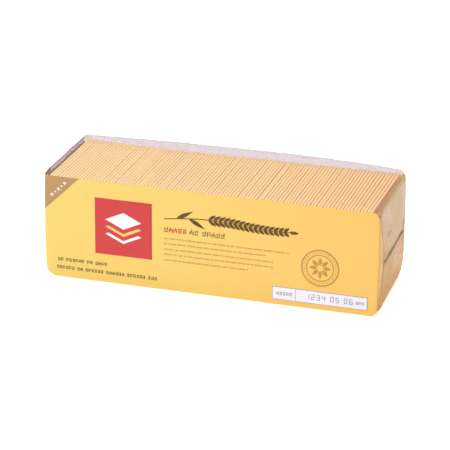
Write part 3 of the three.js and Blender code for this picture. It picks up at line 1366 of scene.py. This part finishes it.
class CHEESEPACK_OT_sprig_print(bpy.types.Operator):
    """Add the brown ear of wheat and the line of red and brown marks under it"""

    bl_idname = "cheese_pack.sprig_print"
    bl_label = "Sprig print"

    START = Vector((98.5 * MM, 60.0 * MM))
    LENGTH = 100 * MM
    BEND = 2.2 * MM
    RISE = 3 * MM
    HALF_STEM = Vector((0, 0.35 * MM))
    STEM_STEPS = 30
    GRAINS = 16
    GRAINS_FROM = 0.36
    GRAIN_STEP = 0.04
    GRAIN_OFFSET = Vector((0, 0.3 * MM))
    GRAIN_ANGLE = 0.62
    GRAIN_LENGTH = 7.4 * MM
    GRAIN_SHRINK = 0.12 * MM
    GRAIN_WIDTH = 2.7 * MM
    TIP_SIZE = (8 * MM, 2.8 * MM)
    LEAVES = ((0.1, 0.5), (0.2, -0.5))
    LEAF_SIZE = (15 * MM, 3.4 * MM)
    SEED = 9
    MARKS_V = 49.2 * MM
    MARKS_HEIGHT = 4.2 * MM
    MARK_LINES = (("red", 98.4 * MM, 21 * MM), ("sepia", 119.2 * MM, 31 * MM))

    def stem(self, t):
        """The stem's middle, from its foot to its tip."""
        bend = self.BEND * math.sin(2 * math.pi * t * 0.8)
        return self.START + Vector((self.LENGTH * t, bend + self.RISE * t))

    def execute(self, context):
        ink = inks()
        brown = ink["brown"]
        sheet = PrintSheet("sprig_print")
        middles = [self.stem(t) for t in fractions(self.STEM_STEPS)]
        half = self.HALF_STEM
        for a, b in zip(middles, middles[1:]):
            sheet.shape([a - half, b - half, b + half, a + half], brown)
        for i in range(self.GRAINS):
            t = self.GRAINS_FROM + self.GRAIN_STEP * i
            base = self.stem(t)
            ahead = self.stem(t + 0.5 * self.GRAIN_STEP) - base
            slope = math.atan2(ahead.y, ahead.x)
            length = self.GRAIN_LENGTH - self.GRAIN_SHRINK * i
            for side in (1, -1):
                foot = base + side * self.GRAIN_OFFSET
                turn = slope + side * self.GRAIN_ANGLE
                sheet.leaf(foot, turn, length, self.GRAIN_WIDTH, brown)
        sheet.leaf(self.stem(1.0), 0.0, *self.TIP_SIZE, brown)
        for t, angle in self.LEAVES:
            sheet.leaf(self.stem(t), angle, *self.LEAF_SIZE, brown)
        draws = random.Random(self.SEED)
        for name, u, length in self.MARK_LINES:
            sheet.marks(u, self.MARKS_V, length, self.MARKS_HEIGHT, ink[name], draws, word=9)
        sheet.finish()
        return {"FINISHED"}


class CHEESEPACK_OT_fine_print(bpy.types.Operator):
    """Add the small ochre and brown marks of the front"""

    bl_idname = "cheese_pack.fine_print"
    bl_label = "Fine print"

    # Each line of marks: its left end, its foot and its length in millimetres
    OCHRE_LINES = (
        (98.4, 43.2, 101.5),
        (98.4, 38.9, 83.5),
        (98.4, 34.3, 89.0),
        (98.4, 30.0, 89.0),
        (98.4, 25.2, 69.5),
    )
    OCHRE_HEIGHT = 1.3 * MM
    BROWN_LINES = ((10.1, 14.0, 43.5), (8.7, 7.2, 88.0))
    BROWN_HEIGHT = 2.9 * MM
    SEED = 3

    def execute(self, context):
        ink = inks()
        draws = random.Random(self.SEED)
        sheet = PrintSheet("fine_print")
        for lines, height, colour, word in (
            (self.OCHRE_LINES, self.OCHRE_HEIGHT, ink["ochre"], 7),
            (self.BROWN_LINES, self.BROWN_HEIGHT, ink["brown"], 6),
        ):
            for u, v, length in lines:
                sheet.marks(u * MM, v * MM, length * MM, height, colour, draws, word=word)
        sheet.finish()
        return {"FINISHED"}


class CHEESEPACK_OT_stamp_print(bpy.types.Operator):
    """Add the round ochre stamp with its flower"""

    bl_idname = "cheese_pack.stamp_print"
    bl_label = "Stamp print"

    CENTRE = Vector((223.7 * MM, 34.7 * MM))
    RINGS = ((15.2 * MM, 14.0 * MM), (11.1 * MM, 10.2 * MM))
    TICKS = 36
    TICK_FROM = 12.0 * MM
    TICK_TO = 13.4 * MM
    HALF_TICK = 0.3 * MM
    PETALS = 8
    PETAL_FROM = 2.2 * MM
    PETAL_LENGTH = 6.6 * MM
    PETAL_WIDTH = 3.0 * MM

    def execute(self, context):
        ink = inks()["ochre"]
        sheet = PrintSheet("stamp_print")
        for outer, inner in self.RINGS:
            sheet.ring(self.CENTRE, outer, inner, ink)
        for turn in fractions(self.TICKS)[:-1]:
            along = direction(2 * math.pi * turn)
            across = left_of(along) * self.HALF_TICK
            inner = self.CENTRE + along * self.TICK_FROM
            outer = self.CENTRE + along * self.TICK_TO
            sheet.shape([inner - across, outer - across, outer + across, inner + across], ink)
        for turn in fractions(self.PETALS)[:-1]:
            angle = 2 * math.pi * turn
            base = self.CENTRE + direction(angle) * self.PETAL_FROM
            sheet.leaf(base, angle, self.PETAL_LENGTH, self.PETAL_WIDTH, ink)
        sheet.finish()
        return {"FINISHED"}


class CHEESEPACK_OT_label_print(bpy.types.Operator):
    """Add the pale label with its frame and plain numbers"""

    bl_idname = "cheese_pack.label_print"
    bl_label = "Label print"

    LOW = Vector((186.2 * MM, 4.6 * MM))
    WIDTH = 75.3 * MM
    HEIGHT = 10.8 * MM
    LINE = 0.4 * MM
    # The marks beside the numbers: their left end, length and height
    SIDE_MARKS = ((3.2 * MM, 15 * MM, 2.9 * MM), (66 * MM, 8.4 * MM, 2.6 * MM))
    SIDE_MARKS_UP = 3.9 * MM
    DIVIDER_AT = 18.4 * MM
    DIVIDER_WIDTH = 0.3 * MM
    NUMBERS = ((1, 2, 3, 4), (0, 5), (0, 6))
    NUMBERS_AT = 27 * MM
    NUMBERS_UP = 3.3 * MM
    DIGIT_STEP = 4.2 * MM
    NUMBER_GAP = 2.4 * MM
    DIGIT_WIDTH = 2.7 * MM
    DIGIT_HEIGHT = 4.4 * MM
    PEN = 0.55 * MM
    SEED = 13
    # The strokes of each digit: top, two upper sides, middle, two lower sides, bottom
    DIGITS = ("1110111", "0010010", "1011101", "1011011", "0111010", "1101011", "1101111")

    def execute(self, context):
        ink = inks()
        grey = ink["grey"]
        u, v = self.LOW
        sheet = PrintSheet("label_print")
        sheet.framed(u, v, self.WIDTH, self.HEIGHT, self.LINE, grey, ink["label"])
        draws = random.Random(self.SEED)
        for at, length, height in self.SIDE_MARKS:
            sheet.marks(u + at, v + self.SIDE_MARKS_UP, length, height, grey, draws, 2, 9)
        inner_height = self.HEIGHT - 2 * self.LINE
        sheet.bar(u + self.DIVIDER_AT, v + self.LINE, self.DIVIDER_WIDTH, inner_height, grey, 2)
        place = u + self.NUMBERS_AT
        for number in self.NUMBERS:
            for digit in number:
                self.digit(sheet, place, v + self.NUMBERS_UP, self.DIGITS[digit], grey)
                place += self.DIGIT_STEP
            place += self.NUMBER_GAP
        sheet.finish()
        return {"FINISHED"}

    def digit(self, sheet, u, v, strokes, material):
        wide, tall, pen = self.DIGIT_WIDTH, self.DIGIT_HEIGHT, self.PEN
        half = tall / 2
        bars = (
            (0, tall - pen, wide, pen),
            (0, half, pen, half),
            (wide - pen, half, pen, half),
            (0, half - pen / 2, wide, pen),
            (0, 0, pen, half),
            (wide - pen, 0, pen, half),
            (0, 0, wide, pen),
        )
        for shown, (du, dv, width, height) in zip(strokes, bars):
            if shown == "1":
                sheet.bar(u + du, v + dv, width, height, material, 2)


class CHEESEPACK_OT_back_print(bpy.types.Operator):
    """Add the plain table and the row of stripes on the back"""

    bl_idname = "cheese_pack.back_print"
    bl_label = "Back print"

    TABLE = Vector((24 * MM, 18 * MM))
    WIDTH = 150 * MM
    HEIGHT = 50 * MM
    LINE = 0.5 * MM
    ROWS = 9
    RULE_INSET = 3 * MM
    RULE = 0.2 * MM
    # The marks of each column: their left end and their length
    COLUMNS = ((4 * MM, 30 * MM), (40 * MM, 62 * MM), (112 * MM, 32 * MM))
    MARKS_UP = 0.36
    MARKS_HEIGHT = 1.9 * MM
    STRIPES = (200 * MM, 25 * MM, 38 * MM, 24 * MM)
    STRIPES_MARGIN = 3 * MM
    STRIPE_WIDTHS = (0.4, 0.8, 1.2)
    STRIPE_GAPS = (0.5, 0.9)
    SEED = 5

    def execute(self, context):
        ink = inks()
        draws = random.Random(self.SEED)
        sheet = PrintSheet("back_print", "back")
        self.table(sheet, ink, draws)
        self.stripes(sheet, ink, draws)
        sheet.finish()
        return {"FINISHED"}

    def table(self, sheet, ink, draws):
        """A framed table with ruled rows of marks."""
        u, v = self.TABLE
        sheet.framed(u, v, self.WIDTH, self.HEIGHT, self.LINE, ink["brown"], ink["cream"])
        step = (self.HEIGHT - 2 * self.LINE) / self.ROWS
        rule_length = self.WIDTH - 2 * self.RULE_INSET
        for i in range(self.ROWS):
            if i:
                rule_v = v + self.LINE + i * step
                sheet.bar(u + self.RULE_INSET, rule_v, rule_length, self.RULE, ink["tan"], 2)
            for start, length in self.COLUMNS:
                at = (u + start, v + (i + self.MARKS_UP) * step)
                sheet.marks(*at, length, self.MARKS_HEIGHT, ink["sepia"], draws, 2, 6)

    def stripes(self, sheet, ink, draws):
        """A row of upright stripes on a pale ground."""
        u, v, width, height = self.STRIPES
        margin = self.STRIPES_MARGIN
        ground = (u - margin, v - margin, width + 2 * margin, height + 2 * margin)
        sheet.bar(*ground, ink["cream"])
        place = u
        while place < u + width:
            stripe = draws.choice(self.STRIPE_WIDTHS) * MM
            sheet.bar(place, v, stripe, height, ink["grey"], 1)
            place += stripe + draws.choice(self.STRIPE_GAPS) * MM


# Stage

WORLD_STRENGTH = 0.355
FLOOR_HALF = 4.0
FLOOR_GLOW = 0.46
# The place, size in metres and power in watts of each square soft light
LIGHTS = {
    "key_light": ((-0.8, -0.9, 1.0), 0.8, 8),
    "top_light": ((0.0, 0.35, 2.0), 2.0, 37.6),
}
SENSOR_WIDTH = 36.0
LENS_SHIFT = (-0.0015, -0.0019)
WHITE = (1.0, 1.0, 1.0, 1.0)


class CHEESEPACK_OT_stage(bpy.types.Operator):
    """Add the floor, the lights and the camera"""

    bl_idname = "cheese_pack.stage"
    bl_label = "Stage"

    def execute(self, context):
        self.floor()
        self.sky()
        for name, (place, size, power) in LIGHTS.items():
            self.light(name, place, size, power)
        self.camera()
        context.scene.view_settings.view_transform = "Standard"
        return {"FINISHED"}

    def floor(self):
        half = FLOOR_HALF
        mesh = bpy.data.meshes.new("floor")
        corners = [(-half, -half, 0), (half, -half, 0), (half, half, 0), (-half, half, 0)]
        mesh.from_pydata(corners, [], [[0, 1, 2, 3]])
        colour = tuple(settings("stage").floor)
        finish = Finish("Floor", colour, roughness=0.9)
        finish.set("Emission Color", WHITE)
        finish.set("Emission Strength", FLOOR_GLOW)
        shade = finish.noise(scale=3, detail=2)
        finish.feed("Base Color", finish.ramp(shade, scaled(colour, 0.99), colour))
        mesh.materials.append(finish.material)
        floor = bpy.data.objects.new("floor", mesh)
        bpy.context.scene.collection.objects.link(floor)

    def sky(self):
        world = bpy.data.worlds.new("Studio")
        world.use_nodes = True
        background = world.node_tree.nodes["Background"]
        background.inputs["Color"].default_value = WHITE
        background.inputs["Strength"].default_value = WORLD_STRENGTH
        bpy.context.scene.world = world

    def light(self, name, place, size, power):
        """A square soft light that faces the pack."""
        data = bpy.data.lights.new(name, "AREA")
        data.size = size
        data.energy = power
        light = bpy.data.objects.new(name, data)
        light.location = place
        light.rotation_euler = (-Vector(place)).to_track_quat("-Z", "Y").to_euler()
        bpy.context.scene.collection.objects.link(light)

    def camera(self):
        stage = settings("stage")
        azimuth, elevation = stage.azimuth, stage.elevation
        level_right = Vector((math.cos(azimuth), math.sin(azimuth), 0))
        level_back = Vector((math.sin(azimuth), -math.cos(azimuth), 0))
        back = level_back * math.cos(elevation) + Vector((0, 0, math.sin(elevation)))
        level_up = back.cross(level_right)
        right = level_right * math.cos(stage.roll) + level_up * math.sin(stage.roll)
        up = level_up * math.cos(stage.roll) - level_right * math.sin(stage.roll)
        middle = Vector((0, 0, (FOOT + PRINT_TOP) / 2))
        data = bpy.data.cameras.new("camera")
        data.lens = stage.lens
        data.sensor_width = SENSOR_WIDTH
        data.shift_x, data.shift_y = LENS_SHIFT
        camera = bpy.data.objects.new("camera", data)
        turn = Matrix((right, up, back)).transposed().to_4x4()
        camera.matrix_world = Matrix.Translation(middle + back * stage.distance) @ turn
        bpy.context.scene.collection.objects.link(camera)
        bpy.context.scene.camera = camera


# Panel and registration

PIECE_OPERATORS = (
    CHEESEPACK_OT_slices,
    CHEESEPACK_OT_printed_film,
    CHEESEPACK_OT_clear_film,
    CHEESEPACK_OT_film_creases,
    CHEESEPACK_OT_end_hems,
    CHEESEPACK_OT_end_folds,
    CHEESEPACK_OT_end_seals,
    CHEESEPACK_OT_corner_print,
    CHEESEPACK_OT_tile_print,
    CHEESEPACK_OT_sprig_print,
    CHEESEPACK_OT_fine_print,
    CHEESEPACK_OT_stamp_print,
    CHEESEPACK_OT_label_print,
    CHEESEPACK_OT_back_print,
    CHEESEPACK_OT_stage,
)

SETTING_GROUPS = {
    "film": FilmSettings,
    "slices": SliceSettings,
    "inks": InkSettings,
    "stage": StageSettings,
}


class CHEESEPACK_PT_sidebar(bpy.types.Panel):
    """The pack's pieces and their settings"""

    bl_idname = "CHEESEPACK_PT_sidebar"
    bl_label = "Cheese Pack"
    bl_space_type = "VIEW_3D"
    bl_region_type = "UI"
    bl_category = "Cheese Pack"

    def draw(self, context):
        for piece in PIECE_OPERATORS:
            self.layout.operator(piece.bl_idname)
        for group, kind in SETTING_GROUPS.items():
            box = self.layout.box()
            box.label(text=group.capitalize())
            for name in kind.__annotations__:
                box.prop(settings(group), name)


def register():
    noise.seed_set(RIPPLE_SEED)
    for kind in (*SETTING_GROUPS.values(), *PIECE_OPERATORS, CHEESEPACK_PT_sidebar):
        bpy.utils.register_class(kind)
    for group, kind in SETTING_GROUPS.items():
        setattr(bpy.types.Scene, f"cheese_pack_{group}", PointerProperty(type=kind))


def unregister():
    for group in SETTING_GROUPS:
        delattr(bpy.types.Scene, f"cheese_pack_{group}")
    for kind in (CHEESEPACK_PT_sidebar, *PIECE_OPERATORS, *SETTING_GROUPS.values()):
        bpy.utils.unregister_class(kind)


def main():
    register()
    for piece in PIECE_OPERATORS:
        category, name = piece.bl_idname.split(".")
        getattr(getattr(bpy.ops, category), name)()


if __name__ == "__main__":
    main()
